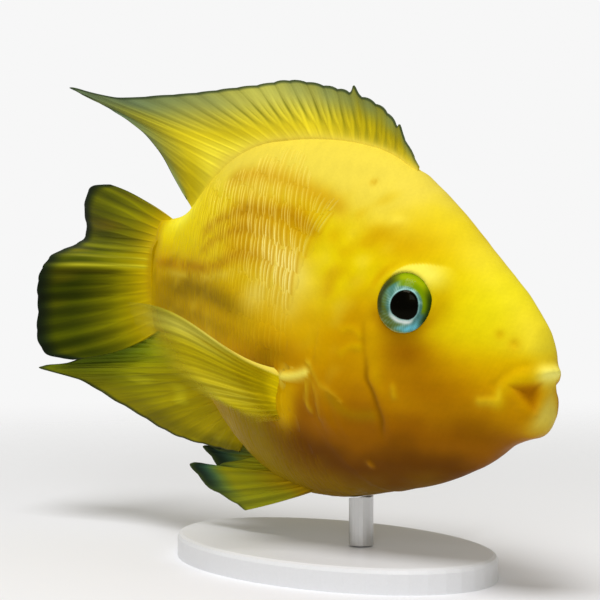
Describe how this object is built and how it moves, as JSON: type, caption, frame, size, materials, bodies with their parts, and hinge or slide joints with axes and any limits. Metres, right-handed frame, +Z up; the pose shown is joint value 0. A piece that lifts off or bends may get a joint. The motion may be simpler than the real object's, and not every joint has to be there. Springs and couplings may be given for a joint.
{
  "type": "blood parrot cichlid fish model",
  "caption": "Life-size still model of a swimming blood parrot cichlid with deep round body and long fins, held over an oval display plate by one upright rod.",
  "frame": {"origin": "centre of the display plate's flat underside", "axes": "+X the way the fish faces along the plate's length, +Y to the fish's left, +Z up"},
  "size_m": [0.1643, 0.0766, 0.1014],
  "materials": {
    "yellow_skin": "wet satin fish skin, yellow over a darker belly",
    "olive_fin": "thin olive yellow fin membrane with raised rays",
    "dark_eye": "clear domed eye with a dark pupil and a pale iris",
    "stand_plate": "plain satin plate",
    "stand_rod_steel": "plain brushed rod"
  },
  "bodies": {
    "root": {"head": "yellow_skin", "trunk": "yellow_skin", "tail_stalk": "yellow_skin", "gill_cover_left": "yellow_skin", "gill_cover_right": "yellow_skin", "eye_left": "dark_eye", "eye_right": "dark_eye", "dorsal_fin": "olive_fin", "anal_fin": "olive_fin", "caudal_fin": "olive_fin", "pectoral_fin_left": "olive_fin", "pectoral_fin_right": "olive_fin", "pelvic_fin_left": "olive_fin", "pelvic_fin_right": "olive_fin", "stand_base": "stand_plate", "stand_rod": "stand_rod_steel"}
  },
  "joints": []
}
